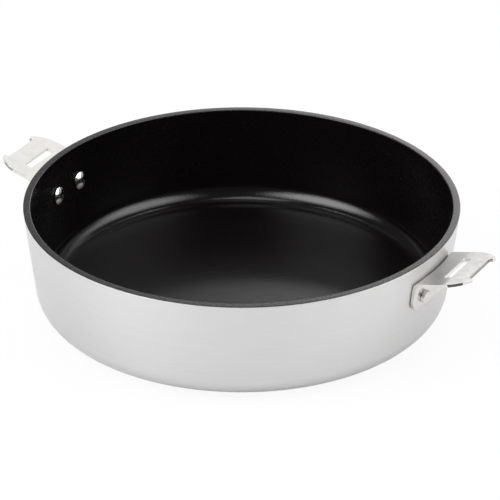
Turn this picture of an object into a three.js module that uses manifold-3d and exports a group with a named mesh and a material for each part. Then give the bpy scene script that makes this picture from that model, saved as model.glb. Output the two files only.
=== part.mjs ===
// Sauteuse pan with two riveted sheet brackets for clip-on handles, in millimetres, +Z up.
// The pan's axis is Z, it stands on z = 0, and its brackets lie along +X and -X.

import * as THREE from 'three';
import { mergeVertices } from 'three/addons/utils/BufferGeometryUtils.js';
import Module from 'manifold-3d';

// Vessel: forged aluminium with a flat rim land, a tapered wall and a thick floor
const RIM_DIAMETER = 280;
const PAN_HEIGHT = 71;
const WALL_TAPER = THREE.MathUtils.degToRad(6.7);
const WALL_THICKNESS = 4.25;
const FLOOR_HEIGHT = 8;
const OUTER_CORNER_RADIUS = 17;
const INNER_CORNER_RADIUS = 12;
const RIM_EDGE_RADIUS = 0.8;

// Non-stick lining: a sprayed film, drawn thick enough to be a solid
const LINING_THICKNESS = 0.3;
const LINING_GAP = 0.05;

// Induction plate: a magnetic steel disc let into the underside, standing a little proud
const PLATE_BORDER = 8;
const PLATE_THICKNESS = 1.2;
const PLATE_PROUD = 0.4;
const PLATE_EDGE_CHAMFER = 0.3;
const PLATE_CLEARANCE = 0.3;

// Bracket: a leg curved to the wall, one bend, and a flat tab that rises away from the pan
const SHEET = 2;
const BRACKET_WIDTH = 49.8;
const BEND_RADIUS = 1.6;
const TAB_DROP = 11.5;
const TAB_LENGTH = 34.6;
const TAB_RISE = THREE.MathUtils.degToRad(14.6);
const TAB_END_WIDTH = 34.2;
const SHOULDER_LENGTH = 17;
const LEG_CORNER_RADIUS = 7.5;
const WALL_SEAT_GAP = 0.3;

// Cut-outs of the tab: a recess between the two horns, and the slot that a handle's latch enters
const RECESS_WIDTH = 29.2;
const RECESS_DEPTH = 2.9;
const RECESS_CORNER_RADIUS = 1.2;
const SLOT_LENGTH = 27.6;
const SLOT_WIDTH = 5.4;
const SLOT_CORNER_RADIUS = 1;
const LATCH_BAR = 12.5;

// Rivets: a polished dome inside the pan, a shank through wall and leg, a flat set end outside
const RIVET_SPACING = 27;
const RIVET_BELOW_TAB = 12.9;
const LEG_BELOW_RIVET = 7.9;
const SHANK_DIAMETER = 6;
const SHANK_CLEARANCE = 0.3;
const HEAD_DIAMETER = 12;
const HEAD_RIM = 0.6;
const HEAD_CROWN = 2.3;
const SET_END_DIAMETER = 8.4;
const SET_END_HEIGHT = 2.4;
const SET_END_CHAMFER = 0.5;
const RIVET_SEAT_GAP = 0.3;

// Facets
const PAN_SEGMENTS = 72;
const RIVET_SEGMENTS = 20;
const CORNER_STEPS = 7;
const RIM_EDGE_STEPS = 2;
const BRACKET_COLUMNS = 10;
const BEND_STEPS = 6;
const LEG_CORNER_STEPS = 5;
const SHOULDER_STEPS = 6;
const CUT_CURVE_STEPS = 3;

const { cos, sin, tan, sqrt, asin, PI } = Math;
const wasm = await Module();
wasm.setup();

// Sizes that follow from the driving dimensions
const rimRadius = RIM_DIAMETER / 2;
const wallStack = WALL_THICKNESS + LINING_GAP + LINING_THICKNESS;
const outerRadius = (z) => rimRadius - (PAN_HEIGHT - z) * tan(WALL_TAPER);
const outerCornerCentre = new THREE.Vector2(0, PLATE_PROUD + OUTER_CORNER_RADIUS);
outerCornerCentre.x = outerRadius(outerCornerCentre.y) - OUTER_CORNER_RADIUS / cos(WALL_TAPER);
const plateRadius = outerCornerCentre.x - PLATE_BORDER;

// Points along an arc in a profile's own plane
function arcPoints(centre, radius, from, to, steps) {
  const points = [];
  for (let i = 0; i <= steps; i += 1) {
    const angle = from + ((to - from) * i) / steps;
    points.push(new THREE.Vector2(centre.x + radius * cos(angle), centre.y + radius * sin(angle)));
  }
  return points;
}

// Inside of the pan from the outer edge of the rim land to the axis, set back by depth into the wall
function cavityProfile(depth) {
  const wallRadius = (z) => outerRadius(z) - (wallStack - depth) / cos(WALL_TAPER);
  const landHeight = PAN_HEIGHT - depth;
  const edgeRadius = Math.max(RIM_EDGE_RADIUS - depth, LINING_GAP);
  const edge = new THREE.Vector2(0, landHeight - edgeRadius);
  edge.x = wallRadius(edge.y) + edgeRadius / cos(WALL_TAPER);
  const cornerRadius = INNER_CORNER_RADIUS + depth;
  const corner = new THREE.Vector2(0, FLOOR_HEIGHT + INNER_CORNER_RADIUS);
  corner.x = wallRadius(corner.y) - cornerRadius / cos(WALL_TAPER);
  return [
    new THREE.Vector2(outerRadius(landHeight), landHeight),
    ...arcPoints(edge, edgeRadius, PI / 2, PI - WALL_TAPER, RIM_EDGE_STEPS),
    ...arcPoints(corner, cornerRadius, -WALL_TAPER, -PI / 2, CORNER_STEPS),
    new THREE.Vector2(0, FLOOR_HEIGHT - depth),
  ];
}

// Revolve a profile of radius and height about Z
function revolve(profile, segments) {
  return new THREE.LatheGeometry(profile, segments).rotateX(PI / 2);
}

// Closed solid of a geometry, with shared vertices and without the triangles that collapse on an axis
function solidOf(geometry) {
  const shell = new THREE.BufferGeometry();
  shell.setAttribute('position', geometry.getAttribute('position').clone());
  shell.setIndex(geometry.getIndex());
  const merged = mergeVertices(shell);
  const index = merged.getIndex().array;
  const triangles = [];
  for (let i = 0; i < index.length; i += 3) {
    const [a, b, c] = index.slice(i, i + 3);
    if (a !== b && b !== c && c !== a) triangles.push(a, b, c);
  }
  const mesh = new wasm.Mesh({
    numProp: 3,
    vertProperties: merged.getAttribute('position').array,
    triVerts: new Uint32Array(triangles),
  });
  return new wasm.Manifold(mesh);
}

// Cut a list of tool geometries out of a geometry
function cut(geometry, tools) {
  let solid = solidOf(geometry);
  for (const tool of tools) solid = solid.subtract(solidOf(tool));
  const { vertProperties, triVerts } = solid.getMesh();
  const result = new THREE.BufferGeometry();
  result.setAttribute('position', new THREE.BufferAttribute(vertProperties, 3));
  result.setIndex(new THREE.BufferAttribute(triVerts, 1));
  result.computeVertexNormals();
  return result;
}

// Rivets: seat on the outer wall and turn from +Y to the wall's normal, on the +X side of the pan
const rivetHeight = PAN_HEIGHT - TAB_DROP - RIVET_BELOW_TAB;
const shankHoleRadius = SHANK_DIAMETER / 2 + SHANK_CLEARANCE;

function rivetSeat(side) {
  const y = (side * RIVET_SPACING) / 2;
  const azimuth = asin(y / outerRadius(rivetHeight));
  const normal = new THREE.Vector3(cos(azimuth), sin(azimuth), -tan(WALL_TAPER)).normalize();
  return {
    position: new THREE.Vector3(outerRadius(rivetHeight) * cos(azimuth), y, rivetHeight),
    turn: new THREE.Quaternion().setFromUnitVectors(new THREE.Vector3(0, 1, 0), normal),
  };
}

// Drill for one rivet hole, long enough to pass the wall and the leg
function rivetDrill(side) {
  const reach = 4 * (wallStack + SHEET);
  const { position, turn } = rivetSeat(side);
  return new THREE.CylinderGeometry(shankHoleRadius, shankHoleRadius, reach, RIVET_SEGMENTS)
    .applyQuaternion(turn)
    .translate(position.x, position.y, position.z);
}

// Rivet along +Y, outwards, with y = 0 on the outer face of the wall
function rivetGeometry() {
  const headRadius = HEAD_DIAMETER / 2;
  const setRadius = SET_END_DIAMETER / 2;
  const insideRadius = outerRadius(rivetHeight) - wallStack;
  const hollow = headRadius ** 2 / (2 * insideRadius);
  const headSeat = -(wallStack + RIVET_SEAT_GAP + hollow);
  const setSeat = WALL_SEAT_GAP + SHEET + RIVET_SEAT_GAP;
  const crownRadius = (headRadius ** 2 + HEAD_CROWN ** 2) / (2 * HEAD_CROWN);
  const crownHalfAngle = asin(headRadius / crownRadius);
  const crownCentre = new THREE.Vector2(0, headSeat - HEAD_RIM - HEAD_CROWN + crownRadius);
  const profile = [
    ...arcPoints(crownCentre, crownRadius, -PI / 2, -PI / 2 + crownHalfAngle, CORNER_STEPS),
    new THREE.Vector2(headRadius, headSeat),
    new THREE.Vector2(SHANK_DIAMETER / 2, headSeat),
    new THREE.Vector2(SHANK_DIAMETER / 2, setSeat),
    new THREE.Vector2(setRadius, setSeat),
    new THREE.Vector2(setRadius, setSeat + SET_END_HEIGHT - SET_END_CHAMFER),
    new THREE.Vector2(setRadius - SET_END_CHAMFER, setSeat + SET_END_HEIGHT),
    new THREE.Vector2(0, setSeat + SET_END_HEIGHT),
  ];
  return new THREE.LatheGeometry(profile, RIVET_SEGMENTS);
}

// Bracket on the +X side: its section at y = 0, as points of distance from the axis and height
const wallUp = new THREE.Vector2(sin(WALL_TAPER), cos(WALL_TAPER));
const wallOut = new THREE.Vector2(cos(WALL_TAPER), -sin(WALL_TAPER));
const tabAlong = new THREE.Vector2(cos(TAB_RISE), sin(TAB_RISE));
const tabNormal = new THREE.Vector2(-sin(TAB_RISE), cos(TAB_RISE));
const tabRoot = new THREE.Vector2(outerRadius(PAN_HEIGHT - TAB_DROP), PAN_HEIGHT - TAB_DROP);
const bendOuterRadius = BEND_RADIUS + SHEET;
const bendOut = WALL_SEAT_GAP + bendOuterRadius;
const lean = WALL_TAPER + TAB_RISE;
const bendUp = (bendOut * sin(lean) - bendOuterRadius) / cos(lean);
const bendCentre = tabRoot.clone().addScaledVector(wallUp, bendUp).addScaledVector(wallOut, bendOut);
const legTop = bendCentre.clone().addScaledVector(wallOut, -bendOuterRadius);
const bendEnd = bendCentre.clone().sub(tabRoot).dot(tabAlong);
const legBottom = rivetHeight - LEG_BELOW_RIVET;
const shoulderStart = TAB_LENGTH - SHOULDER_LENGTH;

// How far the section at y draws back along the tab, so that the leg keeps to the round wall
// while the tab stays in one plane
function drawBack(y) {
  const reach = legTop.x * (cos(TAB_RISE) - sin(TAB_RISE) * tan(WALL_TAPER));
  const spread = cos(TAB_RISE) ** 2 - (sin(TAB_RISE) * tan(WALL_TAPER)) ** 2;
  return (reach - sqrt(reach ** 2 - spread * y ** 2)) / spread;
}

// Rows across the sheet from the foot of the leg to the end of the tab. Each has its half width
// and gives the wall-side face and the outer face of the sheet at y.
function bracketRows() {
  const halfWidth = BRACKET_WIDTH / 2;
  const rows = [];
  const legRow = (z, half) => rows.push({
    half,
    at(y) {
      const top = legTop.clone().addScaledVector(tabAlong, -drawBack(y));
      const face = top.addScaledVector(wallUp, (z - top.y) / wallUp.y);
      return [face, face.clone().addScaledVector(wallOut, SHEET)];
    },
  });
  const bendRow = (angle) => rows.push({
    half: halfWidth,
    at(y) {
      const centre = bendCentre.clone().addScaledVector(tabAlong, -drawBack(y));
      const spoke = new THREE.Vector2(cos(angle), sin(angle));
      return [bendOuterRadius, BEND_RADIUS].map((radius) => centre.clone().addScaledVector(spoke, radius));
    },
  });
  const tabRow = (length, half) => rows.push({
    half,
    at() {
      const face = tabRoot.clone().addScaledVector(tabAlong, length);
      return [face, face.clone().addScaledVector(tabNormal, -SHEET)];
    },
  });

  const footCorner = new THREE.Vector2(halfWidth - LEG_CORNER_RADIUS, legBottom + LEG_CORNER_RADIUS);
  for (const point of arcPoints(footCorner, LEG_CORNER_RADIUS, -PI / 2, 0, LEG_CORNER_STEPS)) {
    legRow(point.y, point.x);
  }
  const bendStart = PI - WALL_TAPER;
  const bendStop = PI / 2 + TAB_RISE;
  for (let i = 0; i <= BEND_STEPS; i += 1) bendRow(bendStart + ((bendStop - bendStart) * i) / BEND_STEPS);
  tabRow((bendEnd + shoulderStart) / 2, halfWidth);
  const narrowing = (BRACKET_WIDTH - TAB_END_WIDTH) / 2;
  const shoulderRadius = (SHOULDER_LENGTH ** 2 + narrowing ** 2) / (2 * narrowing);
  const shoulderCentre = new THREE.Vector2(shoulderStart, halfWidth - shoulderRadius);
  const shoulderStop = PI / 2 - asin(SHOULDER_LENGTH / shoulderRadius);
  for (const point of arcPoints(shoulderCentre, shoulderRadius, PI / 2, shoulderStop, SHOULDER_STEPS)) {
    tabRow(point.x, point.y);
  }
  return rows;
}

// Closed sheet over rows and columns: wall-side face, outer face and the four cut edges
function sheetGeometry(rows, columns) {
  const positions = [];
  for (const row of rows) {
    for (let j = 0; j <= columns; j += 1) {
      const y = row.half * ((2 * j) / columns - 1);
      for (const point of row.at(y)) positions.push(point.x, y, point.y);
    }
  }
  const face = (i, j) => 2 * (i * (columns + 1) + j);
  const back = (i, j) => face(i, j) + 1;
  const last = rows.length - 1;
  const index = [];
  const quad = (a, b, c, d) => index.push(a, b, c, a, c, d);
  for (let i = 0; i < last; i += 1) {
    for (let j = 0; j < columns; j += 1) {
      quad(face(i, j), face(i + 1, j), face(i + 1, j + 1), face(i, j + 1));
      quad(back(i, j), back(i, j + 1), back(i + 1, j + 1), back(i + 1, j));
    }
    quad(face(i, 0), back(i, 0), back(i + 1, 0), face(i + 1, 0));
    quad(face(i, columns), face(i + 1, columns), back(i + 1, columns), back(i, columns));
  }
  for (let j = 0; j < columns; j += 1) {
    quad(face(0, j), face(0, j + 1), back(0, j + 1), back(0, j));
    quad(face(last, j), back(last, j), back(last, j + 1), face(last, j + 1));
  }
  const geometry = new THREE.BufferGeometry();
  geometry.setAttribute('position', new THREE.Float32BufferAttribute(positions, 3));
  geometry.setIndex(index);
  return geometry;
}

// Punch through the tab: an outline of length along the tab and width across it
function tabPunch(outline) {
  const place = new THREE.Matrix4().makeBasis(
    new THREE.Vector3(tabAlong.x, 0, tabAlong.y),
    new THREE.Vector3(0, 1, 0),
    new THREE.Vector3(tabNormal.x, 0, tabNormal.y),
  );
  place.setPosition(tabRoot.x, 0, tabRoot.y);
  const depth = 3 * SHEET;
  return new THREE.ExtrudeGeometry(outline, { depth, bevelEnabled: false, curveSegments: CUT_CURVE_STEPS })
    .translate(0, 0, -2 * SHEET)
    .applyMatrix4(place);
}

// Rectangle with rounded corners between two lengths along the tab
function roundedOutline(from, to, width, radius) {
  const half = width / 2;
  return new THREE.Shape()
    .moveTo(to - radius, -half)
    .absarc(to - radius, radius - half, radius, -PI / 2, 0)
    .absarc(to - radius, half - radius, radius, 0, PI / 2)
    .absarc(from + radius, half - radius, radius, PI / 2, PI)
    .absarc(from + radius, radius - half, radius, PI, (3 * PI) / 2);
}

function bracketGeometry() {
  const recessStart = TAB_LENGTH - RECESS_DEPTH;
  const slotEnd = recessStart - LATCH_BAR;
  const recess = roundedOutline(recessStart, TAB_LENGTH + RECESS_WIDTH / 2, RECESS_WIDTH, RECESS_CORNER_RADIUS);
  const slot = roundedOutline(slotEnd - SLOT_WIDTH, slotEnd, SLOT_LENGTH, SLOT_CORNER_RADIUS);
  const sheet = sheetGeometry(bracketRows(), BRACKET_COLUMNS);
  return cut(sheet, [tabPunch(recess), tabPunch(slot), rivetDrill(1), rivetDrill(-1)]);
}

// Drills for both sides of the pan
function wallDrills() {
  return [1, -1].flatMap((side) => [rivetDrill(side), rivetDrill(side).rotateZ(PI)]);
}

function bodyGeometry() {
  const inside = cavityProfile(LINING_THICKNESS + LINING_GAP);
  const pocketRadius = plateRadius + PLATE_CLEARANCE;
  const profile = [
    new THREE.Vector2(0, PLATE_THICKNESS),
    new THREE.Vector2(pocketRadius, PLATE_THICKNESS),
    new THREE.Vector2(pocketRadius, PLATE_PROUD),
    ...arcPoints(outerCornerCentre, OUTER_CORNER_RADIUS, -PI / 2, -WALL_TAPER, CORNER_STEPS),
    ...inside,
  ];
  return cut(revolve(profile, PAN_SEGMENTS), wallDrills());
}

function liningGeometry() {
  const back = cavityProfile(LINING_THICKNESS).reverse();
  return cut(revolve([...back, ...cavityProfile(0)], PAN_SEGMENTS), wallDrills());
}

function plateGeometry() {
  const profile = [
    new THREE.Vector2(0, 0),
    new THREE.Vector2(plateRadius - PLATE_EDGE_CHAMFER, 0),
    new THREE.Vector2(plateRadius, PLATE_EDGE_CHAMFER),
    new THREE.Vector2(plateRadius, PLATE_THICKNESS),
    new THREE.Vector2(0, PLATE_THICKNESS),
  ];
  return revolve(profile, PAN_SEGMENTS);
}

function mesh(name, geometry, color, roughness, metalness) {
  const piece = new THREE.Mesh(geometry, new THREE.MeshStandardMaterial({ color, roughness, metalness }));
  piece.name = name;
  return piece;
}

// One bracket with its two rivets on the +X side; the rivet on each side has the name given for it
function bracketGroup(bracketName, rivetNames) {
  const group = new THREE.Group();
  group.add(mesh(bracketName, bracketGeometry(), '#d9d8d4', 0.35, 1));
  for (const side of [1, -1]) {
    const rivet = mesh(rivetNames[side], rivetGeometry(), '#e2e1df', 0.15, 1);
    const { position, turn } = rivetSeat(side);
    rivet.position.copy(position);
    rivet.quaternion.copy(turn);
    group.add(rivet);
  }
  return group;
}

const pan = new THREE.Group();
pan.add(mesh('pan_body', bodyGeometry(), '#d2d2d1', 0.4, 1));
pan.add(mesh('nonstick_lining', liningGeometry(), '#1b1a1b', 0.45, 0));
pan.add(mesh('induction_plate', plateGeometry(), '#bfc0c0', 0.35, 1));
pan.add(bracketGroup('right_bracket', { 1: 'right_rear_rivet', '-1': 'right_front_rivet' }));
const leftSide = bracketGroup('left_bracket', { 1: 'left_front_rivet', '-1': 'left_rear_rivet' });
leftSide.rotation.z = PI;
pan.add(leftSide);

export default pan;
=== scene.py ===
from math import asin, atan2, ceil, cos, pi, radians, sin, sqrt, tan

import bmesh
import bpy
from mathutils import Matrix, Vector


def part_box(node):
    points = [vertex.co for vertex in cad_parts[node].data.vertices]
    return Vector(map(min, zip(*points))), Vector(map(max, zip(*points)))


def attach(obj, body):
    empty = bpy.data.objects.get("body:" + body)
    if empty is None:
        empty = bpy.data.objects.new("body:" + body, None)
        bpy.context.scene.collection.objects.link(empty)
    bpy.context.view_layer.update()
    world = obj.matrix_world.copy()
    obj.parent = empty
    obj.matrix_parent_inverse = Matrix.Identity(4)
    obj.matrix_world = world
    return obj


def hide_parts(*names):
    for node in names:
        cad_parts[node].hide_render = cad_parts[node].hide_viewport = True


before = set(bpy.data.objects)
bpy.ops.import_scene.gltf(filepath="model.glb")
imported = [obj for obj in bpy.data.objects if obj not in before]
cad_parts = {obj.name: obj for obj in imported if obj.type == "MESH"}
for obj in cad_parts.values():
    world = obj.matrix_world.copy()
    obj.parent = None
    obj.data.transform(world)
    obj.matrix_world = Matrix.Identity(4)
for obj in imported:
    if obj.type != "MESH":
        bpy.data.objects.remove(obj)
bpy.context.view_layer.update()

# Lengths below are in millimetres, and MM turns them into the frame's metres
MM = 0.001


def node_box(node):
    """Lowest and highest corner of a CAD node, in millimetres."""
    low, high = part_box(node)
    return low / MM, high / MM


# Sizes read from the frame
LINING_LOW, LINING_HIGH = node_box("nonstick_lining")
PLATE_HIGH = node_box("induction_plate")[1]
BODY_LOW, BODY_HIGH = node_box("pan_body")
BRACKET_LOW, BRACKET_HIGH = node_box("right_bracket")
RIM_RADIUS = LINING_HIGH.x
PAN_HEIGHT = LINING_HIGH.z
PLATE_RADIUS = PLATE_HIGH.x
PLATE_THICKNESS = PLATE_HIGH.z
BASE_HEIGHT = BODY_LOW.z
BRACKET_HALF = BRACKET_HIGH.y
LEG_BOTTOM = BRACKET_LOW.z

# Vessel, lining and base plate
WALL_TAPER = radians(6.7)
WALL_STACK = 4.6
LINING_THICKNESS = 0.3
LINING_BACK = PAN_HEIGHT - BODY_HIGH.z
FLOOR_HEIGHT = LINING_LOW.z + LINING_THICKNESS
OUTER_CORNER = 17
INNER_CORNER = 12
RIM_EDGE = 0.7
RIM_LIP = 0.25
POCKET_CLEARANCE = 0.3
POCKET_CORNER = 0.1
POCKET_LIP = 0.3
PLATE_EDGE = 0.35
PLATE_BACK_EDGE = 0.1
TURNED_RINGS = (116, 111, 106, 101)
RING_HALF = 0.8
RING_DEPTH = 0.03

# Bracket
SHEET = 2
BEND_RADIUS = 1.6
TAB_DROP = 11.5
TAB_LENGTH = 34.6
TAB_RISE = radians(14.6)
TAB_END_HALF = 17.1
SHOULDER_LENGTH = 17
SHOULDER_START = TAB_LENGTH - SHOULDER_LENGTH
# Stretch of the tab's shoulder whose cut edge is painted dark: torn metal, and painted shade on the
# side face
TORN_SHADE_START, TORN_SHADE_STOP = 22, 31
EDGE_MARGIN = 0.01
LEG_CORNER = 7.5
WALL_SEAT_GAP = 0.3
RECESS_HALF = 14.6
RECESS_DEPTH = 2.9
RECESS_CORNER = 1.2
HORN_TIP = 0.7
SLOT_HALF = 13.8
SLOT_WIDTH = 5.4
SLOT_CORNER = 1
LATCH_BAR = 12.5
SHEET_EDGE = 0.5

# Rivets
RIVET_SPACING = 27
RIVET_BELOW_TAB = 12.9
SHANK_RADIUS = 3
SHANK_CLEARANCE = 0.3
HEAD_RADIUS = 6
HEAD_RIM = 0.6
HEAD_CROWN = 2.3
HEAD_EDGE = 0.35
SET_RADIUS = 4.2
SET_HEIGHT = 2.4
SET_EDGE = 0.6
DIMPLE_RADIUS = 1.4
DIMPLE_DEPTH = 0.2
DIMPLE_FLOOR_RADIUS = 0.7 * DIMPLE_RADIUS
DIMPLE_EDGE = 0.25
SEAT_EDGE = 0.15
RIVET_SEAT_GAP = 0.3

# Camera, found from the rim, the base and the brackets in the photograph
CAMERA_AZIMUTH = radians(29.85)
CAMERA_ELEVATION = radians(28.03)
CAMERA_DISTANCE = 2094
FRAME_PIXELS = 500
FOCAL_PIXELS = 3240
AXIS_PIXEL = (241.67, 250.07)
SENSOR = 36

# Fineness of the meshes
RIM_STEPS = 288
RIVET_STEPS = 64
DOME_STEPS = 24
SHOULDER_STEPS = 14
SHEET_COLUMNS = 24
LEG_CORNER_STEPS = 10
LEG_ROWS = 5
BEND_STEPS = 12
EASED_STEPS = 2
LONGEST_STEP = 4
FILLET_TURN = radians(6)
SMOOTH_TURN = radians(20)
CUT_EDGE_TURN = radians(40)
NEAR_ZERO = 1e-6


# Shapes


def fillet_arc(before, corner, after, radius):
    """Points of the arc that rounds a corner, from the first tangent point to the last."""
    back = (before - corner).normalized()
    ahead = (after - corner).normalized()
    half = back.angle(ahead) / 2
    centre = corner + (back + ahead).normalized() * radius / sin(half)
    start = corner + back * radius / tan(half) - centre
    stop = corner + ahead * radius / tan(half) - centre
    turn = atan2(start.x * stop.y - start.y * stop.x, start.dot(stop))
    steps = max(2, ceil(abs(turn) / FILLET_TURN))
    points = []
    for i in range(steps + 1):
        a = turn * i / steps
        x = start.x * cos(a) - start.y * sin(a)
        y = start.x * sin(a) + start.y * cos(a)
        points.append(centre + Vector((x, y)))
    return points


def rounded(corners, closed=False):
    """Outline through corners of (x, y, fillet radius), with each fillet as an arc."""
    places = [Vector(corner[:2]) for corner in corners]
    points = []
    for i, corner in enumerate(corners):
        inside = closed or 0 < i < len(corners) - 1
        if inside and corner[2] > 0:
            points += fillet_arc(places[i - 1], places[i], places[(i + 1) % len(places)], corner[2])
        else:
            points.append(places[i])
    return points


def divided(points):
    """The same outline with no straight run longer than LONGEST_STEP."""
    result = [points[0]]
    for a, b in zip(points, points[1:]):
        steps = max(1, ceil((b - a).length / LONGEST_STEP))
        result += [a.lerp(b, (i + 1) / steps) for i in range(steps)]
    return result


def piece_from(bm, name):
    """Object in the scene from a mesh in millimetres, smooth but for its sharp edges."""
    bmesh.ops.scale(bm, vec=(MM, MM, MM), verts=bm.verts)
    mesh = bpy.data.meshes.new(name)
    bm.to_mesh(mesh)
    bm.free()
    mesh.shade_smooth()
    mesh.set_sharp_from_angle(angle=SMOOTH_TURN)
    piece = bpy.data.objects.new(name, mesh)
    bpy.context.scene.collection.objects.link(piece)
    return piece


def revolved(profile, steps):
    """Closed mesh of a section of (radius, height) points turned about Z, from axis to axis."""
    bm = bmesh.new()
    turns = [2 * pi * k / steps for k in range(steps)]
    rings = []
    for point in profile:
        r, z = point
        if r < NEAR_ZERO:
            rings.append([bm.verts.new((0, 0, z))] * steps)
        else:
            rings.append([bm.verts.new((r * cos(a), r * sin(a), z)) for a in turns])
    for low, high in zip(rings, rings[1:]):
        for k in range(steps):
            n = (k + 1) % steps
            corners = [low[k], low[n], high[n], high[k]]
            bm.faces.new(list(dict.fromkeys(corners)))
    return bm


def outer_radius(z):
    return RIM_RADIUS - (PAN_HEIGHT - z) * tan(WALL_TAPER)


def inner_radius(z, depth):
    """Radius of the inner wall at z, set back by depth from the surface that food touches."""
    return outer_radius(z) - (WALL_STACK - depth) / cos(WALL_TAPER)


def inside_corners(depth, lip):
    """Corners of the inside from the outer edge of the rim to the axis, set back by depth."""
    land = PAN_HEIGHT - depth
    floor = FLOOR_HEIGHT - depth
    return [
        (outer_radius(land), land, lip),
        (inner_radius(land, depth), land, RIM_EDGE - depth),
        (inner_radius(floor, depth), floor, INNER_CORNER + depth),
        (0, floor, 0),
    ]


def rivet_frames():
    """Matrix of each rivet by node name, with Z outwards along it from the wall's outer face."""
    height = PAN_HEIGHT - TAB_DROP - RIVET_BELOW_TAB
    radius = outer_radius(height)
    frames = {}
    for side, turn in (("right", 0), ("left", pi)):
        for place, sign in (("front", -1), ("rear", 1)):
            y = sign * RIVET_SPACING / 2 * (1 if side == "right" else -1)
            azimuth = asin(y / radius)
            normal = Vector((cos(azimuth), sin(azimuth), -tan(WALL_TAPER))).normalized()
            seat = Matrix.Translation((radius * cos(azimuth), y, height))
            aim = normal.to_track_quat("Z", "Y").to_matrix().to_4x4()
            frames[f"{side}_{place}_rivet"] = Matrix.Rotation(turn, 4, "Z") @ seat @ aim
    return frames


def drilled(piece):
    """Cut the four rivet holes out of a piece."""
    reach = 4 * (WALL_STACK + SHEET)
    radius = SHANK_RADIUS + SHANK_CLEARANCE
    drills = []
    for name, place in rivet_frames().items():
        bm = bmesh.new()
        bmesh.ops.create_cone(
            bm,
            cap_ends=True,
            segments=RIVET_STEPS,
            radius1=radius,
            radius2=radius,
            depth=reach,
            matrix=place,
        )
        drill = piece_from(bm, f"drill_{name}")
        drills.append(drill)
        hole = piece.modifiers.new(drill.name, "BOOLEAN")
        hole.operation = "DIFFERENCE"
        hole.solver = "EXACT"
        hole.object = drill
    shaped = piece.evaluated_get(bpy.context.evaluated_depsgraph_get())
    piece.data = bpy.data.meshes.new_from_object(shaped)
    piece.modifiers.clear()
    for drill in drills:
        bpy.data.objects.remove(drill)
    return piece


def forged_vessel():
    pocket = PLATE_RADIUS + POCKET_CLEARANCE
    corners = [
        (0, PLATE_THICKNESS, 0),
        (pocket, PLATE_THICKNESS, POCKET_CORNER),
        (pocket, BASE_HEIGHT, POCKET_LIP),
        (outer_radius(BASE_HEIGHT), BASE_HEIGHT, OUTER_CORNER),
        *inside_corners(LINING_BACK, RIM_LIP),
    ]
    return drilled(piece_from(revolved(divided(rounded(corners)), RIM_STEPS), "forged_vessel"))


def sprayed_lining():
    """Coat on the inside and the rim, through which the last rings of the turned floor show."""
    back = inside_corners(LINING_THICKNESS, 0)[::-1]
    front = inside_corners(0, RIM_LIP)
    rings = []
    for radius in TURNED_RINGS:
        rings.append((radius + RING_HALF, FLOOR_HEIGHT, 0))
        rings.append((radius, FLOOR_HEIGHT - RING_DEPTH, 0))
        rings.append((radius - RING_HALF, FLOOR_HEIGHT, 0))
    corners = [*back, *front[:-1], *rings, front[-1]]
    return drilled(piece_from(revolved(divided(rounded(corners)), RIM_STEPS), "sprayed_lining"))


def turned_plate():
    corners = [
        (0, 0, 0),
        (PLATE_RADIUS, 0, PLATE_EDGE),
        (PLATE_RADIUS, PLATE_THICKNESS, PLATE_BACK_EDGE),
        (0, PLATE_THICKNESS, 0),
    ]
    return piece_from(revolved(divided(rounded(corners)), RIM_STEPS), "turned_plate")


def rivet(name, place):
    """Domed head inside the pan, shank through wall and leg, dimpled set end outside."""
    inside = outer_radius(place.translation.z) - WALL_STACK
    head_seat = -(WALL_STACK + RIVET_SEAT_GAP + HEAD_RADIUS**2 / (2 * inside))
    set_seat = WALL_SEAT_GAP + SHEET + RIVET_SEAT_GAP
    set_end = set_seat + SET_HEIGHT
    crown = (HEAD_RADIUS**2 + HEAD_CROWN**2) / (2 * HEAD_CROWN)
    crown_centre = head_seat - HEAD_RIM - HEAD_CROWN + crown
    turns = [asin(HEAD_RADIUS / crown) * i / DOME_STEPS for i in range(DOME_STEPS)]
    dome = [(crown * sin(a), crown_centre - crown * cos(a), 0) for a in turns]
    corners = [
        *dome,
        (HEAD_RADIUS, head_seat - HEAD_RIM, HEAD_EDGE),
        (HEAD_RADIUS, head_seat, SEAT_EDGE),
        (SHANK_RADIUS, head_seat, 0),
        (SHANK_RADIUS, set_seat, 0),
        (SET_RADIUS, set_seat, SEAT_EDGE),
        (SET_RADIUS, set_end, SET_EDGE),
        (DIMPLE_RADIUS, set_end, DIMPLE_EDGE),
        (DIMPLE_FLOOR_RADIUS, set_end - DIMPLE_DEPTH, DIMPLE_EDGE),
        (0, set_end - DIMPLE_DEPTH, 0),
    ]
    bm = revolved(rounded(corners), RIVET_STEPS)
    for face in bm.faces:
        face.material_index = SET if face.calc_center_median().z > set_seat else HEAD
    bmesh.ops.transform(bm, matrix=place, verts=bm.verts)
    return piece_from(bm, name)


# Section of a bracket at y = 0: x is the distance from the pan's axis, y the height
WALL_UP = Vector((sin(WALL_TAPER), cos(WALL_TAPER)))
WALL_OUT = Vector((cos(WALL_TAPER), -sin(WALL_TAPER)))
TAB_ALONG = Vector((cos(TAB_RISE), sin(TAB_RISE)))
TAB_NORMAL = Vector((-sin(TAB_RISE), cos(TAB_RISE)))
TAB_ROOT = Vector((outer_radius(PAN_HEIGHT - TAB_DROP), PAN_HEIGHT - TAB_DROP))
BEND_OUTER = BEND_RADIUS + SHEET
LEAN = WALL_TAPER + TAB_RISE
BEND_OUT = WALL_SEAT_GAP + BEND_OUTER
BEND_UP = (BEND_OUT * sin(LEAN) - BEND_OUTER) / cos(LEAN)
BEND_CENTRE = TAB_ROOT + WALL_OUT * BEND_OUT + WALL_UP * BEND_UP
LEG_TOP = BEND_CENTRE - WALL_OUT * BEND_OUTER
LEG_FOOT = LEG_BOTTOM + SHEET * sin(WALL_TAPER)

# Places of a piece's finishes in its list of materials; both edge finishes carry painted shade
FACE, SHEARED_AND_SHADED, BURNISHED_AND_SHADED = 0, 1, 2
HEAD, SET = 0, 1


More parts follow.
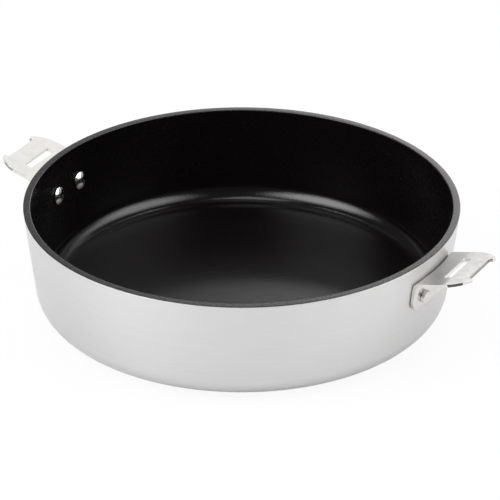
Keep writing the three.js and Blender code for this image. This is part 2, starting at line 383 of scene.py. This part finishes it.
def draw_back(y):
    """How far the section at y lies back along the tab, so that the leg keeps to the round wall."""
    reach = LEG_TOP.x * (cos(TAB_RISE) - sin(TAB_RISE) * tan(WALL_TAPER))
    share = cos(TAB_RISE) ** 2 - (sin(TAB_RISE) * tan(WALL_TAPER)) ** 2
    return (reach - sqrt(reach**2 - share * y**2)) / share


def leg_faces(y, z):
    """Wall-side and outer point of the leg at y and height z."""
    top = LEG_TOP - TAB_ALONG * draw_back(y)
    face = top + WALL_UP * (z - top.y) / WALL_UP.y
    return face, face + WALL_OUT * SHEET


def bend_faces(y, angle):
    centre = BEND_CENTRE - TAB_ALONG * draw_back(y)
    spoke = Vector((cos(angle), sin(angle)))
    return centre + spoke * BEND_OUTER, centre + spoke * BEND_RADIUS


def tab_faces(length):
    face = TAB_ROOT + TAB_ALONG * length
    return face, face - TAB_NORMAL * SHEET


def edge_finish(corner):
    """Finish of the cut edge at a corner of the tab: torn and darkened with painted shade on a
    shoulder, smooth and greyed with painted shade in the recess.
    """
    place = corner[0].co
    length = (Vector((place.x, place.z)) - TAB_ROOT).dot(TAB_ALONG)
    if TORN_SHADE_START < length < TORN_SHADE_STOP:
        return SHEARED_AND_SHADED
    across = abs(place.y) < RECESS_HALF + EDGE_MARGIN
    along = TORN_SHADE_STOP < length < TAB_LENGTH - HORN_TIP
    return BURNISHED_AND_SHADED if across and along else FACE


def tab_outline():
    """Half of the tab on the +Y side as (length, y), from its shoulder to mid-recess."""
    narrowing = BRACKET_HALF - TAB_END_HALF
    radius = (SHOULDER_LENGTH**2 + narrowing**2) / (2 * narrowing)
    turns = [asin(SHOULDER_LENGTH / radius) * i / SHOULDER_STEPS for i in range(SHOULDER_STEPS)]
    shoulder = [
        (SHOULDER_START + radius * sin(a), BRACKET_HALF - radius * (1 - cos(a)), 0) for a in turns
    ]
    recess = TAB_LENGTH - RECESS_DEPTH
    return rounded(
        [
            *shoulder,
            (TAB_LENGTH, TAB_END_HALF, HORN_TIP),
            (TAB_LENGTH, RECESS_HALF, HORN_TIP),
            (recess, RECESS_HALF, RECESS_CORNER),
            (recess, 0, 0),
        ]
    )


def slot_outline():
    """Half of the slot on the +Y side as (length, y), from its outer edge to its inner one."""
    outer = TAB_LENGTH - RECESS_DEPTH - LATCH_BAR
    inner = outer - SLOT_WIDTH
    return rounded(
        [
            (outer, 0, 0),
            (outer, SLOT_HALF, SLOT_CORNER),
            (inner, SLOT_HALF, SLOT_CORNER),
            (inner, 0, 0),
        ]
    )


def pressed_bracket(name, turn):
    """Sheet bracket: a leg on the wall, one bend and a slotted tab, with its cut edges eased."""
    bm = bmesh.new()

    def pair(y, faces):
        return tuple(bm.verts.new((point.x, y, point.y)) for point in faces)

    # Rows of points across the sheet, from the foot of the leg up to the end of the bend
    shares = [2 * k / SHEET_COLUMNS - 1 for k in range(SHEET_COLUMNS + 1)]
    foot_half = BRACKET_HALF - LEG_CORNER
    rows = []
    for i in range(LEG_CORNER_STEPS + 1):
        a = pi / 2 * i / LEG_CORNER_STEPS
        z = LEG_FOOT + LEG_CORNER * (1 - cos(a))
        half = foot_half + LEG_CORNER * sin(a)
        rows.append([pair(half * k, leg_faces(half * k, z)) for k in shares])
    last_z = LEG_FOOT + LEG_CORNER
    for i in range(1, LEG_ROWS):
        share = i / LEG_ROWS
        row = []
        for k in shares:
            y = BRACKET_HALF * k
            top = (LEG_TOP - TAB_ALONG * draw_back(y)).y
            row.append(pair(y, leg_faces(y, last_z + (top - last_z) * share)))
        rows.append(row)
    bend_start = pi - WALL_TAPER
    bend_stop = pi / 2 + TAB_RISE
    for i in range(BEND_STEPS + 1):
        angle = bend_start + (bend_stop - bend_start) * i / BEND_STEPS
        rows.append([pair(BRACKET_HALF * k, bend_faces(BRACKET_HALF * k, angle)) for k in shares])

    def wall(a, b, finish=FACE):
        bm.faces.new((a[0], a[1], b[1], b[0])).material_index = finish

    for low, high in zip(rows, rows[1:]):
        for k in range(SHEET_COLUMNS):
            bm.faces.new((low[k][0], high[k][0], high[k + 1][0], low[k + 1][0]))
            bm.faces.new((low[k][1], low[k + 1][1], high[k + 1][1], high[k][1]))
        wall(low[0], high[0])
        wall(high[-1], low[-1])
    for k in range(SHEET_COLUMNS):
        wall(rows[0][k + 1], rows[0][k])

    # The tab is two flat halves that meet on y = 0 at the root, the latch bar and the recess
    root = rows[-1]
    middle = SHEET_COLUMNS // 2
    outline = {sign: [] for sign in (1, -1)}
    slot = {sign: [] for sign in (1, -1)}
    for line, store in ((tab_outline(), outline), (slot_outline(), slot)):
        for point in line:
            shared = abs(point.y) < NEAR_ZERO
            first = pair(point.y, tab_faces(point.x))
            store[1].append(first)
            store[-1].append(first if shared else pair(-point.y, tab_faces(point.x)))
    for sign in (1, -1):
        edge_root = root[middle:] if sign > 0 else root[middle::-1]
        loop = [*edge_root, *outline[sign], *slot[sign]]
        tops = [v[0] for v in loop]
        unders = [v[1] for v in loop]
        bm.faces.new(tops[::-1] if sign > 0 else tops)
        bm.faces.new(unders if sign > 0 else unders[::-1])
        for a, b in ((edge_root[-1], outline[sign][0]), *zip(outline[sign], outline[sign][1:])):
            wall(*((b, a) if sign > 0 else (a, b)), edge_finish(b))
        for a, b in zip(slot[sign], slot[sign][1:]):
            wall(*((b, a) if sign > 0 else (a, b)))
    bmesh.ops.recalc_face_normals(bm, faces=bm.faces)
    cut_edges = [e for e in bm.edges if e.calc_face_angle() > CUT_EDGE_TURN]
    bmesh.ops.bevel(
        bm,
        geom=cut_edges,
        offset=SHEET_EDGE,
        segments=EASED_STEPS,
        profile=0.5,
        affect="EDGES",
        clamp_overlap=True,
        material=FACE,
    )
    bmesh.ops.rotate(bm, matrix=Matrix.Rotation(turn, 3, "Z"), verts=bm.verts)
    return drilled(piece_from(bm, name))


# Materials

# Sockets of a Mix node that mixes colours
MIX_A, MIX_B, MIX_RESULT = 6, 7, 2


def linear(hex_colour):
    """Linear colour of an sRGB hex value."""
    channels = [int(hex_colour[i : i + 2], 16) / 255 for i in (1, 3, 5)]
    return (*[c / 12.92 if c <= 0.04045 else ((c + 0.055) / 1.055) ** 2.4 for c in channels], 1)


def add(tree, kind, inputs=None, **settings):
    """Add a node with its settings, and set or link its inputs."""
    made = tree.nodes.new(kind)
    for key, value in settings.items():
        setattr(made, key, value)
    for key, value in (inputs or {}).items():
        if isinstance(value, bpy.types.NodeSocket):
            tree.links.new(value, made.inputs[key])
        else:
            made.inputs[key].default_value = value
    return made


def material(name):
    made = bpy.data.materials.new(name)
    made.use_nodes = True
    made.node_tree.nodes.clear()
    return made, made.node_tree


def surfaced(made, inputs):
    """The material with its shader set from inputs."""
    tree = made.node_tree
    shader = add(tree, "ShaderNodeBsdfPrincipled", inputs).outputs[0]
    add(tree, "ShaderNodeOutputMaterial", {"Surface": shader})
    return made


def grain(tree, size, detail=2):
    """Noise whose grains have the given size in millimetres along X, Y and Z."""
    place = add(tree, "ShaderNodeTexCoord").outputs["Object"]
    scale = tuple(1 / (length * MM) for length in size)
    scaled = add(tree, "ShaderNodeMapping", {"Vector": place, "Scale": scale}).outputs[0]
    noise = {"Vector": scaled, "Scale": 1, "Detail": detail}
    return add(tree, "ShaderNodeTexNoise", noise).outputs[0]


def spread(tree, value, low, high, start=0.3, stop=0.7):
    """The value's range from start to stop as a range from low to high."""
    inputs = {"Value": value, "From Min": start, "From Max": stop, "To Min": low, "To Max": high}
    return add(tree, "ShaderNodeMapRange", inputs).outputs[0]


def brushed_aluminium():
    made, tree = material("brushed_forged_aluminium")
    # Forged aluminium, belt-brushed round the wall: pale metal with faint level lines
    lines = grain(tree, (60, 60, 0.9), detail=3)
    clouds = grain(tree, (45, 45, 30), detail=1)
    tone = add(
        tree,
        "ShaderNodeMix",
        {"Factor": spread(tree, lines, 0, 1), MIX_A: linear("#d5d5d5"), MIX_B: linear("#d8d8d8")},
        data_type="RGBA",
    ).outputs[MIX_RESULT]
    relief = {"Height": lines, "Strength": 0.04, "Distance": 0.03 * MM}
    around = add(tree, "ShaderNodeTangent", direction_type="RADIAL", axis="Z")
    return surfaced(
        made,
        {
            "Base Color": tone,
            "Metallic": 1,
            "Roughness": spread(tree, clouds, 0.36, 0.4),
            "Anisotropic": 0.7,
            "Anisotropic Rotation": 0.25,
            "Tangent": around.outputs[0],
            "Normal": add(tree, "ShaderNodeBump", relief).outputs[0],
        },
    )


def black_nonstick():
    made, tree = material("black_ptfe_coating")
    # Sprayed and baked PTFE: black, satin, slightly pebbled, with pale mineral flakes on top.
    # Pebbles and flakes are drawn several times too coarse, to show at all. Overspray leaves the
    # wall drier and duller than floor and corner, and use has rubbed the rim smooth.
    pebbles = grain(tree, (1.8, 1.8, 1.8))
    flakes = grain(tree, (0.7, 0.7, 0.7), detail=1)
    place = add(tree, "ShaderNodeTexCoord").outputs["Object"]
    height = add(tree, "ShaderNodeSeparateXYZ", {0: place}).outputs["Z"]
    wall_start, wall_full = (FLOOR_HEIGHT + 5) * MM, (FLOOR_HEIGHT + 20) * MM
    flecks = spread(tree, flakes, 0, 1, 0.66, 0.8)
    tone = add(
        tree,
        "ShaderNodeMix",
        {"Factor": flecks, MIX_A: linear("#070506"), MIX_B: linear("#1c1919")},
        data_type="RGBA",
    ).outputs[MIX_RESULT]
    satin = spread(tree, pebbles, 0.14, 0.18)
    overspray = spread(tree, height, 0, 0.12, wall_start, wall_full)
    dry = spread(tree, height, 0.5, 0.28, wall_start, wall_full)
    worn = spread(tree, height, 0, 0.5, (PAN_HEIGHT - 1.5) * MM, (PAN_HEIGHT - 0.5) * MM)
    pebbled = spread(tree, height, 1, 0.1, (PAN_HEIGHT - 3) * MM, (PAN_HEIGHT - 1) * MM)
    relief = {"Height": pebbles, "Strength": pebbled, "Distance": 0.06 * MM}
    roughness = add(tree, "ShaderNodeMath", {0: satin, 1: overspray}, operation="ADD")
    sheen = add(tree, "ShaderNodeMath", {0: dry, 1: worn}, operation="MAXIMUM")
    return surfaced(
        made,
        {
            "Base Color": tone,
            "Roughness": roughness.outputs[0],
            "IOR": 1.45,
            "Specular IOR Level": sheen.outputs[0],
            "Normal": add(tree, "ShaderNodeBump", relief).outputs[0],
        },
    )


def satin_stainless():
    made, tree = material("satin_stainless_sheet")
    # Cold-rolled stainless sheet, tumbled after pressing: near mirror with a soft grey veil
    veil = grain(tree, (6, 6, 6), detail=3)
    grit = grain(tree, (0.8, 0.8, 0.8))
    tone = add(
        tree,
        "ShaderNodeMix",
        {"Factor": spread(tree, veil, 0, 1), MIX_A: linear("#d9d7d4"), MIX_B: linear("#e1dfdc")},
        data_type="RGBA",
    ).outputs[MIX_RESULT]
    relief = {"Height": grit, "Strength": 0.1, "Distance": 0.02 * MM}
    return surfaced(
        made,
        {
            "Base Color": tone,
            "Metallic": 1,
            "Roughness": spread(tree, veil, 0.1, 0.14),
            "Normal": add(tree, "ShaderNodeBump", relief).outputs[0],
        },
    )


def shaded_cut_stainless(name, dark, pale):
    made, tree = material(name)
    # Edge left by the press tool: a dull band along the thickness of the sheet, dark where it tore,
    # and darkened further as painted shade on the side faces
    tears = grain(tree, (1.5, 1.5, 0.5), detail=3)
    tone = add(
        tree,
        "ShaderNodeMix",
        {"Factor": spread(tree, tears, 0, 1), MIX_A: linear(dark), MIX_B: linear(pale)},
        data_type="RGBA",
    ).outputs[MIX_RESULT]
    relief = {"Height": tears, "Strength": 0.4, "Distance": 0.05 * MM}
    return surfaced(
        made,
        {
            "Base Color": tone,
            "Metallic": 1,
            "Roughness": spread(tree, tears, 0.35, 0.5),
            "Normal": add(tree, "ShaderNodeBump", relief).outputs[0],
        },
    )


def set_stainless():
    made, tree = material("hammered_stainless_rivet_end")
    # Rivet end upset by the setting tool: pale and dull, with small dents
    dents = grain(tree, (1.4, 1.4, 1.4))
    tone = add(
        tree,
        "ShaderNodeMix",
        {"Factor": spread(tree, dents, 0, 1), MIX_A: linear("#d6d5d3"), MIX_B: linear("#e4e3e1")},
        data_type="RGBA",
    ).outputs[MIX_RESULT]
    relief = {"Height": dents, "Strength": 0.3, "Distance": 0.08 * MM}
    return surfaced(
        made,
        {
            "Base Color": tone,
            "Metallic": 1,
            "Roughness": spread(tree, dents, 0.3, 0.4),
            "Normal": add(tree, "ShaderNodeBump", relief).outputs[0],
        },
    )


def polished_stainless():
    made, tree = material("polished_stainless_rivet")
    # Cold-headed stainless, barrel polished: a bright mirror with hair scratches
    scratches = grain(tree, (5, 0.5, 0.5))
    return surfaced(
        made,
        {
            "Base Color": linear("#e6e4e1"),
            "Metallic": 1,
            "Roughness": spread(tree, scratches, 0.05, 0.1),
        },
    )


def turned_steel():
    made, tree = material("turned_magnetic_steel")
    # Ferritic stainless, faced on a lathe: rings about the middle and a fan of glare across them
    place = add(tree, "ShaderNodeTexCoord").outputs["Object"]
    ring_width = 1.2 * MM
    rings = add(
        tree,
        "ShaderNodeTexWave",
        {"Vector": place, "Scale": 2 * pi / (20 * ring_width), "Distortion": 0.4, "Detail": 1},
        wave_type="RINGS",
        rings_direction="Z",
    ).outputs["Fac"]
    tone = add(
        tree,
        "ShaderNodeMix",
        {"Factor": rings, MIX_A: linear("#b4b4b2"), MIX_B: linear("#c6c6c4")},
        data_type="RGBA",
    ).outputs[MIX_RESULT]
    relief = {"Height": rings, "Strength": 0.3, "Distance": 0.03 * MM}
    around = add(tree, "ShaderNodeTangent", direction_type="RADIAL", axis="Z")
    return surfaced(
        made,
        {
            "Base Color": tone,
            "Metallic": 1,
            "Roughness": 0.32,
            "Anisotropic": 0.6,
            "Anisotropic Rotation": 0.25,
            "Tangent": around.outputs[0],
            "Normal": add(tree, "ShaderNodeBump", relief).outputs[0],
        },
    )


# Stage, light and camera

TO_CAMERA = Vector((sin(CAMERA_AZIMUTH), -cos(CAMERA_AZIMUTH), 0))
TO_RIGHT = Vector((cos(CAMERA_AZIMUTH), sin(CAMERA_AZIMUTH), 0))
AIM = Vector((0, 0, PAN_HEIGHT / 2))
LAMP_DISTANCE = 1500
ROOM_LEVEL = 0.08
BACKDROP_LEVEL = 0.78
BACKDROP_TURN = radians(5)
BACK_WALL_LEVEL = 0.08

# Cosine of the angle from the backdrop's middle, and sine of the elevation, over which it ends
BACKDROP_SIDES = (0.1, 0.9)
BACKDROP_TOP = (0.435, 0.465)

# Share of plain white that is shown in place of the real light
PAPER_GLOW_TO_CAMERA = 0.92
PAPER_GLOW_TO_METAL = 0.25
SKY_GLOW_TO_METAL = 0.05

FLOOR_RADIUS = 4000
FLOOR_STEPS = 96
FLOOR_DROP = 0.2

# Azimuth and elevation in degrees, width, height, level, and the share of the lamp that fades
LAMPS = {
    "left_softbox": (240, 47, 1750, 1650, 7, 0.6),
    "right_softbox": (105, 44, 1800, 1600, 4.5, 0.6),
    "back_softbox": (24, 40.5, 1150, 260, 0.95, 0),
    "side_softbox": (62, 40, 700, 700, 2.4, 0.9),
    "back_top_softbox": (0, 60, 900, 500, 5.5, 0),
    "backdrop_softbox": (18, 24, 1450, 350, 6, 0.9),
    "overhead_softbox": (300, 86, 380, 430, 2.8, 0),
}


def seen_share(tree, camera, metal):
    """Share of plain white that the camera, glass and metal see."""
    rays = add(tree, "ShaderNodeLightPath").outputs
    parts = {"Is Camera Ray": camera, "Is Transmission Ray": camera, "Is Glossy Ray": metal}
    share = 0
    for ray, part in parts.items():
        terms = {0: rays[ray], 1: part, 2: share}
        share = add(tree, "ShaderNodeMath", terms, operation="MULTIPLY_ADD").outputs[0]
    return share


def white_floor():
    made, tree = material("white_paper")
    # White paper: nearly plain white to the camera, partly so to the metal, and it keeps the
    # pan's soft shadow
    seen = seen_share(tree, PAPER_GLOW_TO_CAMERA, PAPER_GLOW_TO_METAL)
    paper = add(tree, "ShaderNodeBsdfDiffuse", {"Color": linear("#d6d6d6")}).outputs[0]
    glow = add(tree, "ShaderNodeEmission", {"Color": (1, 1, 1, 1), "Strength": 1}).outputs[0]
    surface = add(tree, "ShaderNodeMixShader", {0: seen, 1: paper, 2: glow}).outputs[0]
    add(tree, "ShaderNodeOutputMaterial", {"Surface": surface})
    bm = bmesh.new()
    bmesh.ops.create_circle(bm, cap_ends=True, segments=FLOOR_STEPS, radius=FLOOR_RADIUS)
    bmesh.ops.translate(bm, vec=(0, 0, -FLOOR_DROP), verts=bm.verts)
    floor = piece_from(bm, "floor")
    floor.data.materials.append(made)


def studio_sky():
    """Low bright backdrop behind the pan and a dim room elsewhere, plain white to the camera."""
    world = bpy.data.worlds.new("studio")
    world.use_nodes = True
    bpy.context.scene.world = world
    tree = world.node_tree
    tree.nodes.clear()
    place = add(tree, "ShaderNodeTexCoord").outputs["Generated"]
    facing = TO_RIGHT * sin(BACKDROP_TURN) - TO_CAMERA * cos(BACKDROP_TURN)
    towards = {0: place, 1: tuple(facing)}
    behind = add(tree, "ShaderNodeVectorMath", towards, operation="DOT_PRODUCT").outputs[1]
    height = add(tree, "ShaderNodeSeparateXYZ", {0: place}).outputs["Z"]
    sideways = spread(tree, behind, 0, 1, *BACKDROP_SIDES)
    backdrop = spread(tree, height, BACKDROP_LEVEL, BACK_WALL_LEVEL, *BACKDROP_TOP)
    terms = {0: sideways, 1: backdrop, 2: ROOM_LEVEL}
    level = add(tree, "ShaderNodeMath", terms, operation="MULTIPLY_ADD").outputs[0]
    lit = add(tree, "ShaderNodeBackground", {"Color": (1, 1, 1, 1), "Strength": level}).outputs[0]
    shown = add(tree, "ShaderNodeBackground", {"Color": (1, 1, 1, 1), "Strength": 1}).outputs[0]
    seen = seen_share(tree, 1, SKY_GLOW_TO_METAL)
    mixed = add(tree, "ShaderNodeMixShader", {0: seen, 1: lit, 2: shown}).outputs[0]
    add(tree, "ShaderNodeOutputWorld", {"Surface": mixed})


def softbox(name, azimuth, elevation, width, height, level, fade):
    """Lamp aimed at the pan, its azimuth to the right from straight behind the pan.

    With a fade, its light is an oval that falls off outwards over that share of its half width.
    """
    light = bpy.data.lights.new(name, "AREA")
    light.shape = "RECTANGLE"
    light.size = width * MM
    light.size_y = height * MM
    light.energy = level * pi * light.size * light.size_y
    if fade:
        light.use_nodes = True
        tree = light.node_tree
        tree.nodes.clear()
        place = add(tree, "ShaderNodeNewGeometry").outputs["Parametric"]
        centred = {"Vector": place, "Location": (-1, -1, 0), "Scale": (2, 2, 0)}
        middle = add(tree, "ShaderNodeMapping", centred).outputs[0]
        ball = add(tree, "ShaderNodeTexGradient", {0: middle}, gradient_type="SPHERICAL")
        strength = spread(tree, ball.outputs[1], 0, 1, 0, fade)
        glow = add(tree, "ShaderNodeEmission", {"Strength": strength}).outputs[0]
        add(tree, "ShaderNodeOutputLight", {0: glow})
    lamp = bpy.data.objects.new(name, light)
    around = TO_RIGHT * sin(radians(azimuth)) - TO_CAMERA * cos(radians(azimuth))
    aim = around * cos(radians(elevation)) + Vector((0, 0, sin(radians(elevation))))
    lamp.location = aim * LAMP_DISTANCE * MM
    lamp.rotation_euler = aim.to_track_quat("Z", "Y").to_euler()
    lamp.visible_camera = False
    bpy.context.scene.collection.objects.link(lamp)


def photo_camera():
    data = bpy.data.cameras.new("camera")
    data.sensor_width = SENSOR
    data.lens = FOCAL_PIXELS * SENSOR / FRAME_PIXELS
    data.shift_x = 0.5 - AXIS_PIXEL[0] / FRAME_PIXELS
    data.shift_y = AXIS_PIXEL[1] / FRAME_PIXELS - 0.5
    data.clip_end = 100
    camera = bpy.data.objects.new("camera", data)
    back = TO_CAMERA * cos(CAMERA_ELEVATION) + Vector((0, 0, sin(CAMERA_ELEVATION)))
    camera.location = (AIM + back * CAMERA_DISTANCE) * MM
    camera.rotation_euler = back.to_track_quat("Z", "Y").to_euler()
    bpy.context.scene.collection.objects.link(camera)
    bpy.context.scene.camera = camera


def dress(piece, finishes, slot, *nodes):
    """Give a piece its finishes, and let it stand for CAD nodes on the pan."""
    places = [face.material_index for face in piece.data.polygons]
    piece.data.materials.clear()
    for finish in finishes:
        piece.data.materials.append(finish)
    piece.data.polygons.foreach_set("material_index", places)
    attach(piece, "root")
    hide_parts(*nodes)


bpy.context.scene.view_settings.view_transform = "Standard"
photo_camera()
white_floor()
studio_sky()
for name, lamp in LAMPS.items():
    softbox(name, *lamp)

dress(forged_vessel(), [brushed_aluminium()], "aluminium", "pan_body")
dress(sprayed_lining(), [black_nonstick()], "nonstick", "nonstick_lining")
dress(turned_plate(), [turned_steel()], "magnetic_steel", "induction_plate")
# Cut-edge colours darker than the sheet: partly painted shade where the edges face away from the
# light
torn_and_shaded_edge = shaded_cut_stainless("sheared_stainless_edge_painted_shade", "#504e4b", "#6c6966")
smooth_and_shaded_edge = shaded_cut_stainless("burnished_stainless_edge_painted_shade", "#9c9a97", "#b4b2af")
sheet = satin_stainless()
torn_and_shaded_sheet = [sheet, torn_and_shaded_edge, smooth_and_shaded_edge]
smooth_and_shaded_sheet = [sheet, smooth_and_shaded_edge, smooth_and_shaded_edge]
dress(pressed_bracket("right_tab_bracket", 0), torn_and_shaded_sheet, "stainless_sheet", "right_bracket")
dress(pressed_bracket("left_tab_bracket", pi), smooth_and_shaded_sheet, "stainless_sheet", "left_bracket")
rivet_steel = [polished_stainless(), set_stainless()]
for node, place in rivet_frames().items():
    dress(rivet(f"{node}_set", place), rivet_steel, "rivet_steel", node)
